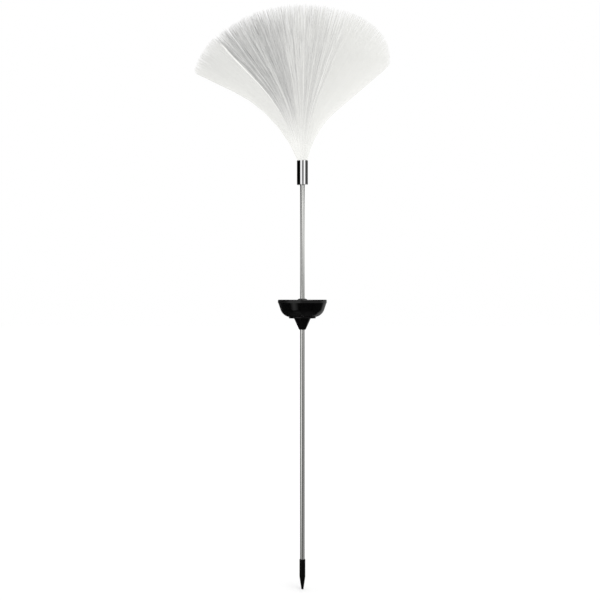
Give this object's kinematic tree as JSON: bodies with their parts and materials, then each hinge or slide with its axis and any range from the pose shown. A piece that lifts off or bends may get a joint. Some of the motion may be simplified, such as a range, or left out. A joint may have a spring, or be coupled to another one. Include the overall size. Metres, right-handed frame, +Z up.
{
  "type": "solar fibre optic stake light",
  "caption": "Garden stake light: ground spike, slim steel tube, black solar housing part way up, and a plated ferrule with a wide spray of fibre optic strands.",
  "frame": {"origin": "on the lamp's axis at ground level: the top of the spike's barrel, 1 mm above the ground_spike mount's point", "axes": "+Z up along the tubes from the spike to the fibres; +X and +Y level, the switch on the +Y side under the housing"},
  "size_m": [0.2947, 0.2897, 0.875],
  "materials": {
    "spike_plastic": "satin",
    "tube_steel": "satin",
    "housing_plastic": "gloss",
    "seal_rubber": "matte",
    "panel_backing": "matte",
    "solar_silicon": "gloss",
    "panel_glaze": "polished",
    "board_laminate": "satin",
    "component_black": "matte",
    "inductor_green": "satin",
    "knob_plastic": "satin",
    "cell_sleeve": "gloss",
    "plated_contact": "polished",
    "screw_steel": "satin",
    "ferrule_chrome": "polished",
    "holder_plastic": "satin",
    "lamp_lens": "polished",
    "fibre_potting": "gloss",
    "fibre_acrylic": "gloss",
    "lead_insulation": "satin"
  },
  "bodies": {
    "spike": {"ground_spike": "spike_plastic"},
    "pole": {"lower_tube": "tube_steel"},
    "head": {"bowl_housing": "housing_plastic", "top_cover": "housing_plastic", "cover_seal": "seal_rubber", "panel_board": "panel_backing", "solar_cells": "solar_silicon", "panel_window": "panel_glaze", "circuit_board": "board_laminate", "driver_chip": "component_black", "inductor": "inductor_green", "switch_body": "plated_contact", "battery_cell": "cell_sleeve", "battery_contacts": "plated_contact", "cover_screws": "screw_steel", "upper_tube": "tube_steel", "ferrule": "ferrule_chrome", "lamp_holder": "holder_plastic", "lamp": "lamp_lens", "fibre_bundle": "fibre_potting", "fibre_strands": "fibre_acrylic", "lamp_leads": "lead_insulation", "panel_leads": "lead_insulation", "battery_leads": "lead_insulation"},
    "switch": {"switch_knob": "knob_plastic"}
  },
  "joints": [
    {"name": "pole_swivel", "type": "hinge", "parent": "spike", "child": "pole", "pos_m": [0, 0, 0], "axis": [0, 0, 1], "continuous": true},
    {"name": "head_lift_off", "type": "slide", "parent": "pole", "child": "head", "axis": [0, 0, 1], "range_m": [0, 0.03]},
    {"name": "switch_slide", "type": "slide", "parent": "head", "child": "switch", "axis": [1, 0, 0], "range_m": [0, 0.002]}
  ]
}
